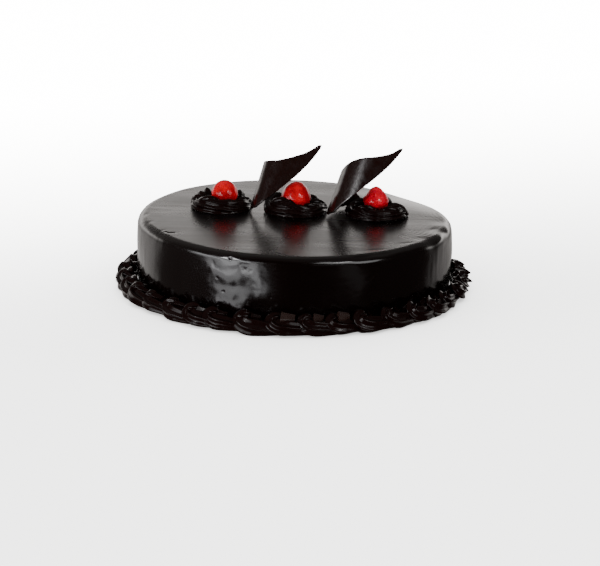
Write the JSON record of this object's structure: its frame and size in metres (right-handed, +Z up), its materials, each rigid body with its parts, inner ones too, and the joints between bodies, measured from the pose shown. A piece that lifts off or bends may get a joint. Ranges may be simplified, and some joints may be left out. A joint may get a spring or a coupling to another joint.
{
  "type": "chocolate truffle cake",
  "caption": "Round dark-glazed chocolate cake with a piped shell border at its foot, piped rosettes holding glace cherries, and curled chocolate sails on its top.",
  "frame": {"origin": "middle of the cake's foot, on the plane it rests on", "axes": "+Z up, -Y towards the front of the cake, +X along the row of rosettes towards the cake's right"},
  "size_m": [0.2206, 0.2209, 0.0881],
  "materials": {
    "glaze": "poured dark chocolate glaze, near black, mirror gloss slightly blurred",
    "piping": "piped truffle cream, near black, satin to glossy",
    "cherry": "candied cherry, bright red, syrup gloss",
    "sail": "tempered dark chocolate, soft sheen"
  },
  "bodies": {
    "root": {"cake": "glaze", "shell_border": "piping", "rosette_left": "piping", "rosette_centre": "piping", "rosette_right": "piping", "cherry_left": "cherry", "cherry_centre": "cherry", "cherry_right": "cherry", "curl_left": "sail", "curl_right": "sail"}
  },
  "joints": []
}
